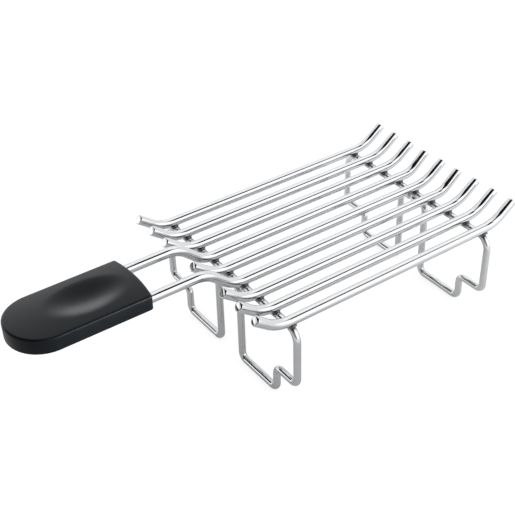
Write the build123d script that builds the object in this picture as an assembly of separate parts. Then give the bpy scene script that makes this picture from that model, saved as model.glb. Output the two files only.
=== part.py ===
from build123d import *
import os
from math import cos, radians, sin, tan

# Wire warming rack that stands in the two slots of a toaster. Millimetres, +Z up.
# X runs along the rods, with the grip at -X. Y runs across the rods.
# Origin: middle of the rack's outline, on the plane that its four foot bars stand on.

# Rods
ROD_DIAMETER = 5.5
ROD_PITCH = 13.7
ROD_COUNT = 9
ARM_RODS = (4, 6)                 # these two rods run on into the handle
ROD_HEIGHT = 56.2                 # rod axis above the floor
END_ROUND = 0.45                  # rounding of the sawn wire ends

# Turned-up ends, measured outwards from the leg frame under them
END_START = 0.5                   # where the bend starts
END_BEND = 22.5                   # bend radius on the axis
END_ANGLE = 37.0
END_TIP = 9.5                     # straight length after the bend
ARM_END_START = 4.5               # the handle wire's own ends are bent later and tighter
ARM_END_BEND = 12.0
ARM_END_ANGLE = 41.0
ARM_END_TIP = 11.4

# Leg frames
LEG_WIRE = 4.0
FRAME_SPACING = 131.0             # between the two frames' planes
WELD_SET = 1.0                    # how far the cross wire is pressed into each rod
OUTER_LEG_Y = 59.7
STEP_Y = 42.1
INNER_LEG_Y = 10.2
STEP_RISE = 15.1                  # raised outer bar above the low bar
SHOULDER_BEND = 8.0               # bend from the cross wire down into an outer leg
LEG_BEND = 4.0                    # every other bend of the leg wire
BUTT_PITCH = 3.7                  # wire ends below the cross wire, axis to axis
BUTT_Y = 1.2                      # where the two wire ends meet
BUTT_GAP = 1.6

# Handle
ARM_RISE = 13.7                   # arms above the rods
STEP_UP_BEND = 18.0
STEP_UP_ANGLE = 41.0
ARM_U_X = 51.8                    # the U inside the grip, behind the grip's front corners
ARM_U_BEND = 10.0

# Grip
GRIP_TAIL = 123.2                 # tail of the grip to the first leg frame
GRIP_LENGTH = 68.0                # tail to the front corners
GRIP_WIDTH = 37.5
GRIP_FRONT_BULGE = 1.6
GRIP_BASE_RISE = 10.2             # underside above the rods' axes
GRIP_EDGE_HEIGHT = 8.6            # underside to the top edge, at the sides
GRIP_CROWN = 0.8                  # extra height along the middle
GRIP_CORNER = 1.5
GRIP_TOP_ROUND = 1.1
GRIP_BASE_ROUND = 1.1
THUMB_CENTRE = 25.8               # middle of the thumb recess, behind the front corners
THUMB_LENGTH = 39.0
THUMB_WIDTH = 23.0
THUMB_DEPTH = 2.2
THUMB_RIM_ROUND = 1.5

rod_radius = ROD_DIAMETER / 2
leg_radius = LEG_WIRE / 2


def end_reach(start, bend, angle, tip):
    """How far a turned-up end's axis reaches past the leg frame."""
    return start + bend * sin(radians(angle)) + tip * cos(radians(angle))


rod_reach = end_reach(END_START, END_BEND, END_ANGLE, END_TIP)
tip_overhang = (
    (rod_radius - END_ROUND) * sin(radians(END_ANGLE)) - END_ROUND * cos(radians(END_ANGLE)) + END_ROUND
)
total_length = GRIP_TAIL + FRAME_SPACING + rod_reach + tip_overhang
frame_near_x = GRIP_TAIL - total_length / 2
frame_far_x = frame_near_x + FRAME_SPACING
cross_height = ROD_HEIGHT - rod_radius - leg_radius + WELD_SET
arm_height = ROD_HEIGHT + ARM_RISE
grip_front_x = frame_near_x - GRIP_TAIL + GRIP_LENGTH
grip_base = ROD_HEIGHT + GRIP_BASE_RISE
grip_edge = grip_base + GRIP_EDGE_HEIGHT
grip_top = grip_edge + GRIP_CROWN


def rod_y(number):
    """Rod 1 is at the back, +Y."""
    return ((ROD_COUNT + 1) / 2 - number) * ROD_PITCH


def bent_wire(corners, bends, diameter, rounded=True):
    """A round wire along straight runs joined by tangent bends."""
    path = FilletPolyline(*corners, radius=bends)
    profile = Plane(origin=path @ 0, z_dir=path % 0) * Circle(diameter / 2)
    wire = sweep(profile, path=path)
    if not rounded:
        return wire
    ends = [path @ 0, path @ 1]
    rims = [
        edge
        for edge in wire.edges().filter_by(GeomType.CIRCLE)
        if min((edge.arc_center - end).length for end in ends) < 0.01
    ]
    return fillet(rims, END_ROUND)


def turned_up_end(frame_x, outwards, y, start, bend, angle, tip):
    """The corner and the tip of a turned-up rod end."""
    turn = radians(angle)
    leg = bend * tan(turn / 2)
    corner_x = frame_x + outwards * (start + leg)
    reach = (leg + tip) * cos(turn)
    rise = (leg + tip) * sin(turn)
    corner = (corner_x, y, ROD_HEIGHT)
    end = (corner_x + outwards * reach, y, ROD_HEIGHT + rise)
    return corner, end


def rod(number):
    """A straight rod with both ends turned up."""
    y = rod_y(number)
    shape = (END_START, END_BEND, END_ANGLE, END_TIP)
    near_corner, near_end = turned_up_end(frame_near_x, -1, y, *shape)
    far_corner, far_end = turned_up_end(frame_far_x, 1, y, *shape)
    corners = [near_end, near_corner, far_corner, far_end]
    return bent_wire(corners, [END_BEND, END_BEND], ROD_DIAMETER)


def arm_corners(y):
    """One side of the handle wire, from its turned-up far end to the U in the grip."""
    shape = (ARM_END_START, ARM_END_BEND, ARM_END_ANGLE, ARM_END_TIP)
    far_corner, far_end = turned_up_end(frame_far_x, 1, y, *shape)
    step_leg = STEP_UP_BEND * tan(radians(STEP_UP_ANGLE) / 2)
    step_x = frame_near_x + END_START - step_leg
    step_run = ARM_RISE / tan(radians(STEP_UP_ANGLE))
    low_corner = (step_x, y, ROD_HEIGHT)
    high_corner = (step_x - step_run, y, arm_height)
    u_corner = (grip_front_x - ARM_U_X, y, arm_height)
    return [far_end, far_corner, low_corner, high_corner, u_corner]


def handle_wire():
    """One wire: two rods that step up over the rack's end and join inside the grip."""
    first, last = (rod_y(number) for number in ARM_RODS)
    side_bends = [ARM_END_BEND, STEP_UP_BEND, STEP_UP_BEND]
    corners = arm_corners(first) + arm_corners(last)[::-1]
    bends = side_bends + [ARM_U_BEND, ARM_U_BEND] + side_bends[::-1]
    return bent_wire(corners, bends, ROD_DIAMETER)


def leg_side(frame_x, side):
    """Half of a leg frame: one leg loop and its half of the cross wire."""
    end_y = BUTT_Y + side * BUTT_GAP / 2
    butt_height = cross_height - BUTT_PITCH
    low = leg_radius
    raised = leg_radius + STEP_RISE
    loop = [
        (frame_x, end_y, butt_height),
        (frame_x, side * INNER_LEG_Y, butt_height),
        (frame_x, side * INNER_LEG_Y, low),
        (frame_x, side * STEP_Y, low),
        (frame_x, side * STEP_Y, raised),
        (frame_x, side * OUTER_LEG_Y, raised),
        (frame_x, side * OUTER_LEG_Y, ROD_HEIGHT / 2),
    ]
    shoulder = [
        (frame_x, side * OUTER_LEG_Y, ROD_HEIGHT / 2),
        (frame_x, side * OUTER_LEG_Y, cross_height),
        (frame_x, 0, cross_height),
    ]
    leg = bent_wire(loop, [LEG_BEND] * 5, LEG_WIRE, rounded=False)
    top = bent_wire(shoulder, [SHOULDER_BEND], LEG_WIRE, rounded=False)
    return leg + top


def leg_frame(frame_x):
    """One bent wire under all the rods, with a saddle where each rod is pressed in."""
    frame = leg_side(frame_x, 1) + leg_side(frame_x, -1)
    for number in range(1, ROD_COUNT + 1):
        seat = Pos(frame_x, rod_y(number), ROD_HEIGHT) * Rot(0, 90, 0)
        frame -= seat * Cylinder(rod_radius, 3 * LEG_WIRE)
    return frame


def grip_outline():
    """Plan of the grip: bowed front, straight sides and a half-round tail."""
    half = GRIP_WIDTH / 2
    tail_x = grip_front_x - GRIP_LENGTH
    side_end = tail_x + half
    front = ThreePointArc(
        (grip_front_x, -half), (grip_front_x + GRIP_FRONT_BULGE, 0), (grip_front_x, half)
    )
    back_side = Line((grip_front_x, half), (side_end, half))
    tail = ThreePointArc((side_end, half), (tail_x, 0), (side_end, -half))
    front_side = Line((side_end, -half), (grip_front_x, -half))
    return make_face([front, back_side, tail, front_side])


def thumb_tool():
    """A ring whose outer side presses a long shallow dish into the grip's top."""
    long_radius = ((THUMB_LENGTH / 2) ** 2 + THUMB_DEPTH**2) / (2 * THUMB_DEPTH)
    cross_radius = ((THUMB_WIDTH / 2) ** 2 + THUMB_DEPTH**2) / (2 * THUMB_DEPTH)
    ring = Rot(90, 0, 0) * Torus(long_radius - cross_radius, cross_radius)
    return Pos(grip_front_x - THUMB_CENTRE, 0, grip_top - THUMB_DEPTH + long_radius) * ring


def grip(wire):
    """Moulded grip with a crowned top, a thumb recess and a channel for the wire."""
    blank = extrude(Plane.XY.offset(grip_base) * grip_outline(), GRIP_EDGE_HEIGHT + GRIP_CROWN)
    upright = blank.edges().filter_by(Axis.Z)
    blank = fillet(upright.sort_by(Axis.X)[-2:], GRIP_CORNER)
    crown_radius = ((GRIP_WIDTH / 2) ** 2 + GRIP_CROWN**2) / (2 * GRIP_CROWN)
    crown = Rot(0, 90, 0) * Cylinder(crown_radius, 2 * total_length)
    blank &= Pos(0, 0, grip_top - crown_radius) * crown
    top_edges = blank.faces().sort_by(Axis.Z)[-1].edges()
    blank = fillet(top_edges, GRIP_TOP_ROUND)
    base_edges = blank.faces().sort_by(Axis.Z)[0].edges()
    blank = fillet(base_edges, GRIP_BASE_ROUND)
    dished = blank - thumb_tool()
    rim = dished.edges() - blank.edges()
    dished = fillet(rim, THUMB_RIM_ROUND)
    return dished - wire


def build():
    """Every piece by its node name."""
    wire = handle_wire()
    pieces = {
        f"rod_{number}": rod(number)
        for number in range(1, ROD_COUNT + 1)
        if number not in ARM_RODS
    }
    pieces["handle_wire"] = wire
    pieces["leg_frame_handle_end"] = leg_frame(frame_near_x)
    pieces["leg_frame_far_end"] = leg_frame(frame_far_x)
    pieces["grip"] = grip(wire)
    return pieces


os.makedirs("parts", exist_ok=True)
for name, piece in build().items():
    piece.label = name
    export_step(piece, f"parts/{name}.step")
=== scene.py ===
from math import atan2, ceil, cos, hypot, pi, radians, sin, sqrt, tan

import bmesh
import bpy
from mathutils import Matrix, Vector


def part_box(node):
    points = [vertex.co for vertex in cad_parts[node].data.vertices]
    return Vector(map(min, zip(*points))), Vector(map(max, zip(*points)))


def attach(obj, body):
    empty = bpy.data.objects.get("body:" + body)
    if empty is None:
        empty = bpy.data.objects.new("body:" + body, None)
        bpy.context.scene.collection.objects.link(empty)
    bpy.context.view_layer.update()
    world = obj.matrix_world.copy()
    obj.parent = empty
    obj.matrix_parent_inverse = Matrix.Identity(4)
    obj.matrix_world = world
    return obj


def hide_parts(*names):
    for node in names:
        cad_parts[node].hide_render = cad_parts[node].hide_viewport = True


# Looks of a chrome wire warming rack with a moulded grip. Metres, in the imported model's frame:
# X along the rods with the grip at -X, Y across the rods, Z up, floor at z = 0.

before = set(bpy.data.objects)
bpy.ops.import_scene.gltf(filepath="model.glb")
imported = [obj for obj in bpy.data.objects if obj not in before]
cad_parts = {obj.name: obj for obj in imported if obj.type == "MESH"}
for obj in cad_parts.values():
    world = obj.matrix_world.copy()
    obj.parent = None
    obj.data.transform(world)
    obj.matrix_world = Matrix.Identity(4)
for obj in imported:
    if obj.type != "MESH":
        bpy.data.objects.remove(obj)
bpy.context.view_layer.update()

MM = 0.001

# Wire bends and ends, as the rack is made
END_START = 0.5 * MM              # start of a turned-up end, outside its leg frame
END_BEND = 22.5 * MM
END_ANGLE = radians(37)
END_TIP = 9.5 * MM
ARM_END_START = 4.5 * MM
ARM_END_BEND = 12 * MM
ARM_END_ANGLE = radians(41)
ARM_END_TIP = 11.4 * MM
STEP_UP_BEND = 18 * MM
STEP_UP_ANGLE = radians(41)
ARM_U_BEND = 10 * MM
SHOULDER_BEND = 8 * MM
LEG_BEND = 4 * MM
STEP_Y = 42.1 * MM
INNER_LEG_Y = 10.2 * MM
STEP_RISE = 15.1 * MM
BUTT_PITCH = 3.7 * MM
BUTT_Y = 1.2 * MM
BUTT_GAP = 1.6 * MM
END_ROUND = 0.7 * MM              # rounding of a cut end's rim
END_DOME = 0.1 * MM               # how far a cut end stands proud in the middle
FACE_RINGS = (0.25, 0.5, 0.75)    # rings of the domed face, as shares of its radius

# Fineness of the meshes
WIRE_SIDES = 64
ARC_STEP = radians(3)
ROUND_STEPS = 6
MERGE = 0.001 * MM                # points closer than this are one point

# Welds
WELD_FILLET = 0.8 * MM
WELD_ROOT = 0.5                   # how deep the bead's hidden back goes, in fillet radii
HAZE_AND_SHADE_REACH = 1.8 * MM              # how far along the cross wire the dim haze and painted shade reach past a rod
HAZE_AND_SHADE_START = -0.6                 # height on the cross wire where the haze and painted shade start, in wire radii
HAZE_AND_SHADE_FULL = 0.4                   # height where it is full
WELD_STEPS = 40
WELD_ARC_STEPS = 6

# Grip
GRIP_FRONT_BULGE = 1.6 * MM
GRIP_CROWN = 0.8 * MM
GRIP_CORNER = 1.5 * MM
GRIP_TOP_ROUND = 1.1 * MM
GRIP_BASE_ROUND = 1.1 * MM
THUMB_CENTRE = 25.8 * MM          # behind the front corners
THUMB_HALF_LENGTH = 23 * MM
THUMB_HALF_WIDTH = 13.5 * MM
THUMB_DEPTH = 2.3 * MM
TAIL_STEPS = 60
SIDE_STEPS = 40
CORNER_STEPS = 8
FRONT_STEPS = 36
BASE_RINGS = 4
TOP_RINGS = 32
SPINE_SHORT = 0.6                 # how far the skin's middle line stops behind the front, in half widths

# Chrome plate and plastic. Ripples are per metre.
PLATE_DARK = (0.50, 0.51, 0.525)
PLATE_LIGHT = (0.56, 0.565, 0.57)
PLATE_ROUGHNESS = (0.02, 0.07)
PLATE_CLOUDS = 60
PEEL_RIPPLES = 140
PEEL_DEPTH = 0.01 * MM            # waviness of the plated surface
# Dark colour beside the welds: partly dim rough plating, partly painted shade where each rod sits over
# the cross wire
WELD_HAZE_AND_SHADE_COLOUR = (0.09, 0.09, 0.095)
PLASTIC_DARK = (0.0008, 0.001, 0.0014)
PLASTIC_LIGHT = (0.0014, 0.0017, 0.0022)
PLASTIC_ROUGHNESS = (0.38, 0.44)
PLASTIC_SHINE = 0.12
PLASTIC_SHINE_TINT = (0.78, 0.9, 1.0)
PLASTIC_CLOUDS = 90
GRAIN_RIPPLES = 3500
GRAIN_DEPTH = 0.05 * MM
GRAIN_STRENGTH = 0.15

# Studio. Each card is a name, a brightness and its corners, in room sizes from the rack.
FLOOR_HALF = 6.0
ROOM_SIZE = 2.0
ROOM_LIGHT = 1.35
CARDS = [
    (
        "front_softbox",
        2.0,
        [(-0.14, -1, 0.05), (1.6, -1, 0.05), (1.6, -0.6, 1.3), (0.4, -0.75, 1.35), (-0.1, -1, 1.6)],
    ),
    (
        "left_softbox",
        1.9,
        [(-1.0, 1.6, -0.02), (-1.0, 1.6, 0.60), (-1.45, 1.1, 0.58), (-1.45, 1.1, -0.02)],
    ),
    (
        "top_softbox",
        1.7,
        [(1.4, 0.1, 1.1), (1.4, 1.3, 1.1), (0.3, 0.9, 1.1), (0.3, 0.2, 1.1)],
    ),
    (
        "overhead_boom",
        0.02,
        [
            (1.4, -0.285, 1),
            (1.4, -0.23, 1),
            (0.86, -0.165, 1),
            (0.36, -0.05, 1),
            (0.36, -0.85, 1),
            (0.62, -0.6, 1),
            (0.86, -0.34, 1),
        ],
    ),
    (
        "boom_arm",
        0.02,
        [(0.37, -0.34, 1), (0.37, -0.2, 1), (0.05, -0.08, 1), (0.05, -0.48, 1)],
    ),
    (
        "dark_room",
        0.012,
        [
            (0.06, -0.48, 1),
            (0.06, -0.08, 1),
            (-0.34, 0.42, 1),
            (-0.52, 0.6, 1),
            (-0.34, 0.8, 1),
            (-0.6, 1.25, 1),
            (-1.2, 1.7, 1),
            (-1.9, 1.6, 1),
            (-2.6, 0.9, 1),
            (-2.6, -1.4, 1),
            (-0.8, -1.9, 1),
            (-0.34, -0.88, 1),
        ],
    ),
    (
        "camera_side_wall",
        0.42,
        [(-0.5, -2.2, 0), (-0.5, -2.2, 1.0), (-2.3, 1.45, 1.0), (-2.3, 1.45, 0)],
    ),
]
FLOOR_TONE = 0.25
FLOOR_ROUGHNESS = 0.9
FLOOR_GLOW = 0.77                 # the floor's own light, which keeps shadows on it faint
TABLE_LIFT = 0.05 * MM
TABLE_SHADOW_TONE = 0.58                 # tone of the painted shadow of the rack, beside the rack
TABLE_FAR = 1.0
TABLE_SHADOW_CENTRE = (-0.10, -0.06, 0)    # middle of the painted shadow, where the table is darkest, left of the rack
TABLE_SHADOW_REACH = (0.34, 0.24, 1)     # size of the painted shadow along X and Y
TABLE_SHADOW_FADE = 0.6                  # share of the painted shadow over which it fades

# Lamps that light only the grip: name, place, size and power
GRIP_LAMPS = [
    ("grip_back_lamp", (0.05, 0.80, 0.25), (1.2, 0.3), 5),
    ("grip_front_lamp", (0.40, -0.60, 0.05), (0.5, 0.09), 20),
]

# Camera. Its place is from the handle end leg frame, the rack's middle plane and the rods' height.
LENS = 71.51
SENSOR = 36
CAMERA_X = -232.27 * MM
CAMERA_Y = -365.91 * MM
CAMERA_Z = 315.95 * MM
CAMERA_FORWARD = (0.4601, 0.67054, -0.58197)
CAMERA_RIGHT = (0.81445, -0.57973, -0.02406)

# Measured from the frame
rod_low, rod_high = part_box("rod_1")
near_low, near_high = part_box("leg_frame_handle_end")
far_low, far_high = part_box("leg_frame_far_end")
wire_low, wire_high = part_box("handle_wire")
grip_low, grip_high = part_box("grip")
rod_radius = (rod_high.y - rod_low.y) / 2
rod_height = rod_low.z + rod_radius
leg_radius = (near_high.x - near_low.x) / 2
near_x = (near_low.x + near_high.x) / 2
far_x = (far_low.x + far_high.x) / 2
cross_height = near_high.z - leg_radius
outer_leg_y = near_high.y - leg_radius
arm_height = wire_high.z - rod_radius
arm_y = wire_high.y - rod_radius
u_x = wire_low.x + rod_radius


def node_y(name):
    """Middle of a node across the rods."""
    low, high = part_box(name)
    return (low.y + high.y) / 2


straight_rods = sorted(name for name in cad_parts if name.startswith("rod_"))
rod_ys = sorted([node_y(name) for name in straight_rods] + [arm_y, -arm_y])


# ---- Wires ----

def rounded_path(corners, bends):
    """Points and directions along straight runs joined by tangent arcs."""
    corners = [Vector(corner) for corner in corners]
    first = (corners[1] - corners[0]).normalized()
    last = (corners[-1] - corners[-2]).normalized()
    path = [(corners[0], first)]
    for before, corner, after, bend in zip(corners, corners[1:], corners[2:], bends):
        into = (corner - before).normalized()
        out = (after - corner).normalized()
        turn = into.angle(out)
        axis = into.cross(out).normalized()
        start = corner - into * bend * tan(turn / 2)
        centre = start + axis.cross(into) * bend
        steps = ceil(turn / ARC_STEP)
        for step in range(steps + 1):
            rotation = Matrix.Rotation(turn * step / steps, 3, axis)
            path.append((centre + rotation @ (start - centre), rotation @ into))
    path.append((corners[-1], last))
    return path


def end_profile(radius):
    """Rings of a cut end from the middle of its face to the full wire: how far in, and ring radius."""
    face = radius - END_ROUND
    rings = [(END_DOME * share**2, face * share) for share in FACE_RINGS]
    for step in range(ROUND_STEPS + 1):
        angle = pi / 2 * step / ROUND_STEPS
        rings.append((END_DOME + END_ROUND * (1 - cos(angle)), face + END_ROUND * sin(angle)))
    return rings


def wire_rings(path, radius):
    """Centre, direction and radius of every ring along a wire, with rounded ends."""
    ends = end_profile(radius)
    start, first = path[0]
    finish, last = path[-1]
    rings = [(start + first * inset, first, size) for inset, size in ends]
    rings += [(point, direction, radius) for point, direction in path[1:-1]]
    rings += [(finish - last * inset, last, size) for inset, size in reversed(ends)]
    return rings


def add_wire(mesh, path, radius):
    """Adds one wire to a bmesh."""
    side = path[0][1].orthogonal().normalized()
    direction = path[0][1]
    loops = []
    for centre, heading, size in wire_rings(path, radius):
        side = direction.rotation_difference(heading) @ side
        direction = heading
        other = direction.cross(side)
        loop = []
        for step in range(WIRE_SIDES):
            angle = 2 * pi * step / WIRE_SIDES
            loop.append(mesh.verts.new(centre + size * (cos(angle) * side + sin(angle) * other)))
        loops.append(loop)
    for loop, after in zip(loops, loops[1:]):
        bridge(mesh, loop, after)
    mesh.faces.new(reversed(loops[0]))
    mesh.faces.new(loops[-1])


def bridge(mesh, loop, after):
    """Quads between two closed loops of the same length."""
    count = len(loop)
    for step in range(count):
        following = (step + 1) % count
        mesh.faces.new((loop[step], loop[following], after[following], after[step]))


def turned_up_end(frame_x, outwards, y, start, bend, angle, tip):
    """Corner and tip of a turned-up rod end."""
    leg = bend * tan(angle / 2)
    corner_x = frame_x + outwards * (start + leg)
    reach = (leg + tip) * cos(angle)
    rise = (leg + tip) * sin(angle)
    return (corner_x, y, rod_height), (corner_x + outwards * reach, y, rod_height + rise)


def add_rod(mesh, y):
    """A straight rod with both ends turned up."""
    shape = (END_START, END_BEND, END_ANGLE, END_TIP)
    near_corner, near_tip = turned_up_end(near_x, -1, y, *shape)
    far_corner, far_tip = turned_up_end(far_x, 1, y, *shape)
    path = rounded_path([near_tip, near_corner, far_corner, far_tip], [END_BEND, END_BEND])
    add_wire(mesh, path, rod_radius)


def arm_corners(y):
    """One side of the handle wire, from its far tip to the U inside the grip."""
    shape = (ARM_END_START, ARM_END_BEND, ARM_END_ANGLE, ARM_END_TIP)
    far_corner, far_tip = turned_up_end(far_x, 1, y, *shape)
    step_x = near_x + END_START - STEP_UP_BEND * tan(STEP_UP_ANGLE / 2)
    step_run = (arm_height - rod_height) / tan(STEP_UP_ANGLE)
    low_corner = (step_x, y, rod_height)
    high_corner = (step_x - step_run, y, arm_height)
    return [far_tip, far_corner, low_corner, high_corner, (u_x, y, arm_height)]


def add_handle_wire(mesh):
    """One wire: both arms and the U that joins them inside the grip."""
    side_bends = [ARM_END_BEND, STEP_UP_BEND, STEP_UP_BEND]
    corners = arm_corners(arm_y) + arm_corners(-arm_y)[::-1]
    bends = side_bends + [ARM_U_BEND, ARM_U_BEND] + side_bends[::-1]
    add_wire(mesh, rounded_path(corners, bends), rod_radius)


# ---- Leg frames and welds ----

def add_leg_wire(mesh, frame_x):
    """The whole bent wire of a leg frame, from one butted end round to the other."""
    butt = cross_height - BUTT_PITCH
    raised = leg_radius + STEP_RISE
    loop = [
        (INNER_LEG_Y, butt),
        (INNER_LEG_Y, leg_radius),
        (STEP_Y, leg_radius),
        (STEP_Y, raised),
        (outer_leg_y, raised),
        (outer_leg_y, cross_height),
    ]
    corners = [(frame_x, BUTT_Y + BUTT_GAP / 2, butt)]
    corners += [(frame_x, y, z) for y, z in loop]
    corners += [(frame_x, -y, z) for y, z in reversed(loop)]
    corners += [(frame_x, BUTT_Y - BUTT_GAP / 2, butt)]
    bends = [LEG_BEND] * 5 + [SHOULDER_BEND, SHOULDER_BEND] + [LEG_BEND] * 5
    add_wire(mesh, rounded_path(corners, bends), leg_radius)


def weld_ring(rod, cross, apart):
    """Middle line of a fillet between a rod along X and a cross wire along Y below it."""
    ring = []
    lowest = -rod
    highest = cross - apart
    middle = (lowest + highest) / 2
    swing = (highest - lowest) / 2
    for step in range(WELD_STEPS):
        angle = 2 * pi * step / WELD_STEPS
        z = middle + swing * cos(2 * angle)
        x = sqrt(max(cross**2 - (z + apart) ** 2, 0))
        y = sqrt(max(rod**2 - z**2, 0))
        across = 1 if sin(angle) > 0 else -1
        along = 1 if cos(angle) > 0 else -1
        ring.append(Vector((across * x, along * y, z)))
    return ring


def add_weld(mesh, frame_x, y):
    """A small concave fillet all round the place where a rod is pressed into the cross wire."""
    apart = rod_height - cross_height
    loops = []
    for centre in weld_ring(rod_radius + WELD_FILLET, leg_radius + WELD_FILLET, apart):
        on_rod = Vector((centre.x, 0, 0))
        on_cross = Vector((0, centre.y, -apart))
        to_rod = (on_rod - centre).normalized()
        to_cross = (on_cross - centre).normalized()
        turn = to_rod.angle(to_cross)
        axis = to_rod.cross(to_cross).normalized()
        loop = []
        for step in range(WELD_ARC_STEPS + 1):
            swing = Matrix.Rotation(turn * step / WELD_ARC_STEPS, 3, axis)
            loop.append(centre + swing @ to_rod * WELD_FILLET)
        inner = (loop[0] + loop[-1]) / 2 + (to_rod + to_cross).normalized() * WELD_FILLET * WELD_ROOT
        loop.append(inner)
        base = Vector((frame_x, y, rod_height))
        loops.append([mesh.verts.new(base + point) for point in loop])
    for loop, after in zip(loops, loops[1:] + loops[:1]):
        bridge(mesh, loop, after)


def add_leg_frame(mesh, frame_x):
    """A leg frame with the welds that hold every rod."""
    add_leg_wire(mesh, frame_x)
    for y in rod_ys:
        add_weld(mesh, frame_x, y)


# ---- Grip ----

def arc_points(centre, radius, start, end, steps):
    """Points of an arc in plan with their outward normals."""
    points = []
    for step in range(steps + 1):
        angle = start + (end - start) * step / steps
        normal = Vector((cos(angle), sin(angle)))
        points.append((centre + normal * radius, normal))
    return points


def line_points(start, end, normal, steps):
    """Inner points of a straight side with their outward normal."""
    return [(start.lerp(end, step / steps), normal) for step in range(1, steps)]


def grip_outline():
    """Plan of the grip, anticlockwise from the half-round tail, as points and outward normals."""
    half = (grip_high.y - grip_low.y) / 2
    front_radius = (half**2 + GRIP_FRONT_BULGE**2) / (2 * GRIP_FRONT_BULGE)
    front_centre = Vector((grip_high.x - front_radius, 0))
    corner_y = half - GRIP_CORNER
    corner_x = front_centre.x + sqrt((front_radius - GRIP_CORNER) ** 2 - corner_y**2)
    front_angle = atan2(corner_y, corner_x - front_centre.x)
    tail_centre = Vector((grip_low.x + half, 0))
    down = Vector((0, -1))
    up = Vector((0, 1))
    front_corner = Vector((corner_x, -corner_y))
    back_corner = Vector((corner_x, corner_y))
    outline = arc_points(tail_centre, half, pi / 2, 3 * pi / 2, TAIL_STEPS)
    outline += line_points(Vector((tail_centre.x, -half)), Vector((corner_x, -half)), down, SIDE_STEPS)
    outline += arc_points(front_corner, GRIP_CORNER, -pi / 2, -front_angle, CORNER_STEPS)
    outline += arc_points(front_centre, front_radius, -front_angle, front_angle, FRONT_STEPS)[1:-1]
    outline += arc_points(back_corner, GRIP_CORNER, front_angle, pi / 2, CORNER_STEPS)
    outline += line_points(Vector((corner_x, half)), Vector((tail_centre.x, half)), up, SIDE_STEPS)
    return outline


def top_height(x, y):
    """Height of the grip's top: a slight crown across it and a soft thumb recess."""
    half = (grip_high.y - grip_low.y) / 2
    crown_radius = (half**2 + GRIP_CROWN**2) / (2 * GRIP_CROWN)
    crown = grip_high.z - crown_radius + sqrt(crown_radius**2 - y**2)
    thumb_x = grip_high.x - GRIP_FRONT_BULGE - THUMB_CENTRE
    reach = hypot((x - thumb_x) / THUMB_HALF_LENGTH, y / THUMB_HALF_WIDTH)
    dish = (1 - reach**2) ** 2 if reach < 1 else 0
    return crown - THUMB_DEPTH * dish


def grip_loops():
    """Closed loops of points from the middle of the base, up the side, to the middle of the top."""
    half = (grip_high.y - grip_low.y) / 2
    outline = grip_outline()
    spine_start = grip_low.x + half
    spine_end = grip_high.x - half * SPINE_SHORT
    spine = [Vector((min(max(point.x, spine_start), spine_end), 0)) for point, _ in outline]
    base_edge = [point - normal * GRIP_BASE_ROUND for point, normal in outline]
    top_edge = [point - normal * GRIP_TOP_ROUND for point, normal in outline]
    loops = []
    for step in range(BASE_RINGS):
        share = step / BASE_RINGS
        level = [middle.lerp(edge, share) for middle, edge in zip(spine, base_edge)]
        loops.append([(*point, grip_low.z) for point in level])
    for step in range(ROUND_STEPS + 1):
        angle = pi / 2 * step / ROUND_STEPS
        inset = GRIP_BASE_ROUND * (1 - sin(angle))
        z = grip_low.z + GRIP_BASE_ROUND * (1 - cos(angle))
        loops.append([(*(point - normal * inset), z) for point, normal in outline])
    for step in range(ROUND_STEPS + 1):
        angle = pi / 2 * step / ROUND_STEPS
        inset = GRIP_TOP_ROUND * (1 - cos(angle))
        drop = GRIP_TOP_ROUND * (1 - sin(angle))
        edge = [point - normal * inset for point, normal in outline]
        loops.append([(*point, top_height(*point) - drop) for point in edge])
    for step in range(1, TOP_RINGS + 1):
        share = step / TOP_RINGS
        level = [edge.lerp(middle, share) for middle, edge in zip(spine, top_edge)]
        loops.append([(*point, top_height(*point)) for point in level])
    return loops


def add_grip(mesh):
    """The moulded grip as one closed skin."""
    loops = [[mesh.verts.new(point) for point in loop] for loop in grip_loops()]
    for loop, after in zip(loops, loops[1:]):
        bridge(mesh, loop, after)
    bmesh.ops.remove_doubles(mesh, verts=mesh.verts, dist=MERGE)
    bmesh.ops.dissolve_degenerate(mesh, edges=mesh.edges, dist=MERGE)


# ---- Materials ----

def node_material(name):
    """A new material, its nodes, its links and its shader."""
    material = bpy.data.materials.new(name)
    material.use_nodes = True
    tree = material.node_tree
    return material, tree.nodes, tree.links, tree.nodes["Principled BSDF"]


def noise(nodes, links, ripples, detail):
    """A noise texture in object space."""
    coordinates = nodes.new("ShaderNodeTexCoord")
    texture = nodes.new("ShaderNodeTexNoise")
    texture.inputs["Scale"].default_value = ripples
    texture.inputs["Detail"].default_value = detail
    links.new(coordinates.outputs["Object"], texture.inputs["Vector"])
    return texture.outputs["Fac"]


def ramp(nodes, links, factor, low, high, start, end):
    """Maps a factor from start..end onto low..high."""
    mapped = nodes.new("ShaderNodeMapRange")
    mapped.inputs["From Min"].default_value = start
    mapped.inputs["From Max"].default_value = end
    mapped.inputs["To Min"].default_value = low
    mapped.inputs["To Max"].default_value = high
    links.new(factor, mapped.inputs["Value"])
    return mapped.outputs["Result"]


def tint(nodes, links, factor, dark, light):
    """A colour between dark and light."""
    mix = nodes.new("ShaderNodeMix")
    mix.data_type = "RGBA"
    mix.inputs["A"].default_value = (*dark, 1)
    mix.inputs["B"].default_value = (*light, 1)
    links.new(factor, mix.inputs["Factor"])
    return mix.outputs["Result"]


def bumped(nodes, links, shader, height, strength, depth):
    """Gives a shader a bump."""
    bump = nodes.new("ShaderNodeBump")
    bump.inputs["Strength"].default_value = strength
    bump.inputs["Distance"].default_value = depth
    links.new(height, bump.inputs["Height"])
    links.new(bump.outputs["Normal"], shader.inputs["Normal"])


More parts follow.
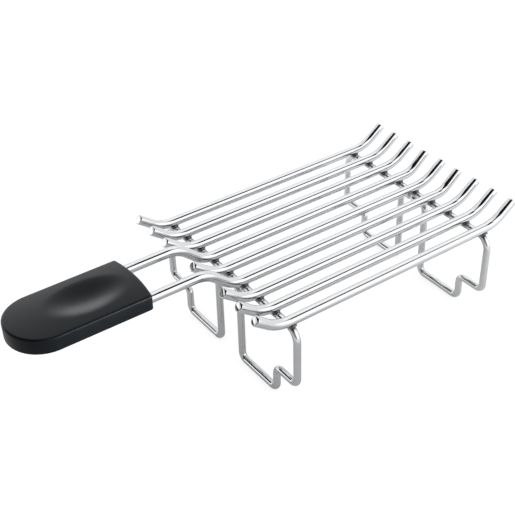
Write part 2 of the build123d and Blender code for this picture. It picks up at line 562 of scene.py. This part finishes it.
def weld_haze_and_shade_mask(nodes, links):
    """Mask of the haze and painted shade at the welds: 1 beside a weld on the upper part of a cross
    wire, under the rod, falling to 0 further along and lower down.
    """
    coordinates = nodes.new("ShaderNodeTexCoord")
    parts = nodes.new("ShaderNodeSeparateXYZ")
    beside = nodes.new("ShaderNodeMath")
    beside.operation = "PINGPONG"
    beside.inputs[1].default_value = (rod_ys[1] - rod_ys[0]) / 2
    both = nodes.new("ShaderNodeMath")
    both.operation = "MULTIPLY"
    links.new(coordinates.outputs["Object"], parts.inputs["Vector"])
    links.new(parts.outputs["Y"], beside.inputs[0])
    close = ramp(nodes, links, beside.outputs["Value"], 1, 0, rod_radius, rod_radius + HAZE_AND_SHADE_REACH)
    clear = cross_height + HAZE_AND_SHADE_START * leg_radius
    full_haze_and_shade_z = cross_height + HAZE_AND_SHADE_FULL * leg_radius
    high = ramp(nodes, links, parts.outputs["Z"], 0, 1, clear, full_haze_and_shade_z)
    links.new(close, both.inputs[0])
    links.new(high, both.inputs[1])
    return both.outputs["Value"]


def chrome(name, with_weld_shade=False):
    """Bright chrome plate: faint clouding, a trace of orange peel, and at any welds a dark colour that
    is partly dim rough plating and partly painted shade of the rod on the cross wire.
    """
    material, nodes, links, shader = node_material(name)
    shader.inputs["Metallic"].default_value = 1.0
    cloud = noise(nodes, links, PLATE_CLOUDS, 4)
    colour = tint(nodes, links, cloud, PLATE_DARK, PLATE_LIGHT)
    roughness = ramp(nodes, links, cloud, *PLATE_ROUGHNESS, 0.35, 0.7)
    if with_weld_shade:
        # painted shade, with some real dimming, on the cross wire beside each rod
        mix = nodes.new("ShaderNodeMix")
        mix.data_type = "RGBA"
        mix.inputs["B"].default_value = (*WELD_HAZE_AND_SHADE_COLOUR, 1)
        links.new(weld_haze_and_shade_mask(nodes, links), mix.inputs["Factor"])
        links.new(colour, mix.inputs["A"])
        colour = mix.outputs["Result"]
    links.new(colour, shader.inputs["Base Color"])
    links.new(roughness, shader.inputs["Roughness"])
    peel = noise(nodes, links, PEEL_RIPPLES, 1)
    bumped(nodes, links, shader, peel, 1.0, PEEL_DEPTH)
    return material


def moulded_plastic():
    """Charcoal plastic with a fine spark-eroded texture."""
    material, nodes, links, shader = node_material("charcoal_plastic")
    shader.inputs["Specular IOR Level"].default_value = PLASTIC_SHINE
    shader.inputs["Specular Tint"].default_value = (*PLASTIC_SHINE_TINT, 1)
    cloud = noise(nodes, links, PLASTIC_CLOUDS, 3)
    colour = tint(nodes, links, cloud, PLASTIC_DARK, PLASTIC_LIGHT)
    roughness = ramp(nodes, links, cloud, *PLASTIC_ROUGHNESS, 0.3, 0.7)
    links.new(colour, shader.inputs["Base Color"])
    links.new(roughness, shader.inputs["Roughness"])
    grain = noise(nodes, links, GRAIN_RIPPLES, 2)
    bumped(nodes, links, shader, grain, GRAIN_STRENGTH, GRAIN_DEPTH)
    return material


# ---- Pieces ----

def piece(name, material, slot, nodes, fill, *values):
    """A finished piece that stands for CAD nodes."""
    mesh = bmesh.new()
    fill(mesh, *values)
    bmesh.ops.recalc_face_normals(mesh, faces=mesh.faces)
    data = bpy.data.meshes.new(name)
    mesh.to_mesh(data)
    mesh.free()
    data.shade_smooth()
    shown = bpy.data.objects.new(name, data)
    bpy.context.scene.collection.objects.link(shown)
    data.materials.append(material)
    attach(shown, "root")
    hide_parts(*nodes)
    return shown


def build_pieces():
    """Every visible piece of the rack. Returns the grip."""
    plate = chrome("chrome_plate")
    plate_with_weld_shade = chrome("chrome_plate_with_weld_shade", with_weld_shade=True)
    for name in straight_rods:
        piece(f"chrome_{name}", plate, "wire", [name], add_rod, node_y(name))
    piece("chrome_handle_wire", plate, "wire", ["handle_wire"], add_handle_wire)
    for name, x in (("leg_frame_handle_end", near_x), ("leg_frame_far_end", far_x)):
        piece(f"chrome_{name}", plate_with_weld_shade, "wire", [name], add_leg_frame, x)
    return piece("moulded_grip", moulded_plastic(), "grip", ["grip"], add_grip)


# ---- Stage ----

def stage_mesh(name, points, material):
    """A stage object of one face through the given points."""
    data = bpy.data.meshes.new(name)
    data.from_pydata([tuple(point) for point in points], [], [range(len(points))])
    data.materials.append(material)
    shown = bpy.data.objects.new(name, data)
    bpy.context.scene.collection.objects.link(shown)
    return shown


def floor_corners(height):
    """Corners of a square under the rack."""
    corners = [(-1, -1), (1, -1), (1, 1), (-1, 1)]
    return [(x * FLOOR_HALF, y * FLOOR_HALF, height) for x, y in corners]


def floor():
    """A plain pale floor."""
    material, _, _, shader = node_material("pale_floor")
    shader.inputs["Base Color"].default_value = (FLOOR_TONE, FLOOR_TONE, FLOOR_TONE, 1)
    shader.inputs["Roughness"].default_value = FLOOR_ROUGHNESS
    shader.inputs["Specular IOR Level"].default_value = 0.0
    shader.inputs["Emission Color"].default_value = (1, 1, 1, 1)
    shader.inputs["Emission Strength"].default_value = FLOOR_GLOW
    stage_mesh("floor", floor_corners(0), material)


def only_in_reflections(shown):
    """A stage object that lights nothing, shades nothing and stays out of every view."""
    shown.visible_camera = False
    shown.visible_diffuse = False
    shown.visible_shadow = False


def table():
    """A greyer table just over the pale floor, which only the chrome sees, with the rack's soft shadow
    painted on it as a darker patch.
    """
    material, nodes, links, shader = node_material("table_with_painted_rack_shadow")
    coordinates = nodes.new("ShaderNodeTexCoord")
    mapping = nodes.new("ShaderNodeMapping")
    mapping.vector_type = "TEXTURE"
    mapping.inputs["Location"].default_value = TABLE_SHADOW_CENTRE
    mapping.inputs["Scale"].default_value = TABLE_SHADOW_REACH
    gradient = nodes.new("ShaderNodeTexGradient")
    gradient.gradient_type = "SPHERICAL"
    links.new(coordinates.outputs["Object"], mapping.inputs["Vector"])
    links.new(mapping.outputs["Vector"], gradient.inputs["Vector"])
    # painted shadow of the rack: darker beside the rack, fading to the far tone
    in_painted_shadow = ramp(nodes, links, gradient.outputs["Fac"], 0, 1, 0, TABLE_SHADOW_FADE)
    colour = tint(nodes, links, in_painted_shadow, (TABLE_FAR,) * 3, (TABLE_SHADOW_TONE,) * 3)
    links.new(colour, shader.inputs["Base Color"])
    shader.inputs["Specular IOR Level"].default_value = 0.0
    shown = stage_mesh("table", floor_corners(TABLE_LIFT), material)
    only_in_reflections(shown)


def card(name, brightness, corners):
    """A studio card or softbox that only the chrome and the grip's sheen see."""
    material = bpy.data.materials.new(name)
    material.use_nodes = True
    nodes = material.node_tree.nodes
    nodes.clear()
    glow = nodes.new("ShaderNodeEmission")
    glow.inputs["Color"].default_value = (1, 1, 1, 1)
    glow.inputs["Strength"].default_value = brightness
    output = nodes.new("ShaderNodeOutputMaterial")
    material.node_tree.links.new(glow.outputs["Emission"], output.inputs["Surface"])
    shown = stage_mesh(name, [Vector(corner) * ROOM_SIZE for corner in corners], material)
    only_in_reflections(shown)


def grip_lamps(grip):
    """Low softboxes behind and in front of the rack that only the matt grip picks up."""
    lit = bpy.data.collections.new("lit_by_grip_lamps")
    lit.objects.link(grip)
    for name, place, size, power in GRIP_LAMPS:
        data = bpy.data.lights.new(name, "AREA")
        data.shape = "RECTANGLE"
        data.size, data.size_y = size
        data.energy = power
        lamp = bpy.data.objects.new(name, data)
        lamp.location = place
        aim = Vector((grip_low.x, 0, grip_high.z)) - lamp.location
        lamp.rotation_mode = "QUATERNION"
        lamp.rotation_quaternion = aim.to_track_quat("-Z", "Y")
        lamp.visible_camera = False
        lamp.light_linking.receiver_collection = lit
        bpy.context.scene.collection.objects.link(lamp)


def studio():
    """Soft white surroundings with the darker parts of the room that the chrome shows."""
    world = bpy.data.worlds.new("studio")
    world.use_nodes = True
    background = world.node_tree.nodes["Background"]
    background.inputs["Color"].default_value = (1, 1, 1, 1)
    background.inputs["Strength"].default_value = ROOM_LIGHT
    bpy.context.scene.world = world
    bpy.context.scene.view_settings.view_transform = "Standard"
    for name, brightness, corners in CARDS:
        card(name, brightness, corners)


def camera():
    """The camera, at the photograph's viewing angle."""
    data = bpy.data.cameras.new("camera")
    data.sensor_width = SENSOR
    data.lens = LENS
    shown = bpy.data.objects.new("camera", data)
    shown.location = (near_x + CAMERA_X, CAMERA_Y, rod_height + CAMERA_Z)
    forward = Vector(CAMERA_FORWARD).normalized()
    right = Vector(CAMERA_RIGHT).normalized()
    up = right.cross(forward)
    turn = Matrix((right, up, -forward)).transposed()
    shown.rotation_mode = "QUATERNION"
    shown.rotation_quaternion = turn.to_quaternion()
    bpy.context.scene.collection.objects.link(shown)
    bpy.context.scene.camera = shown


grip = build_pieces()
grip_lamps(grip)
floor()
table()
studio()
camera()
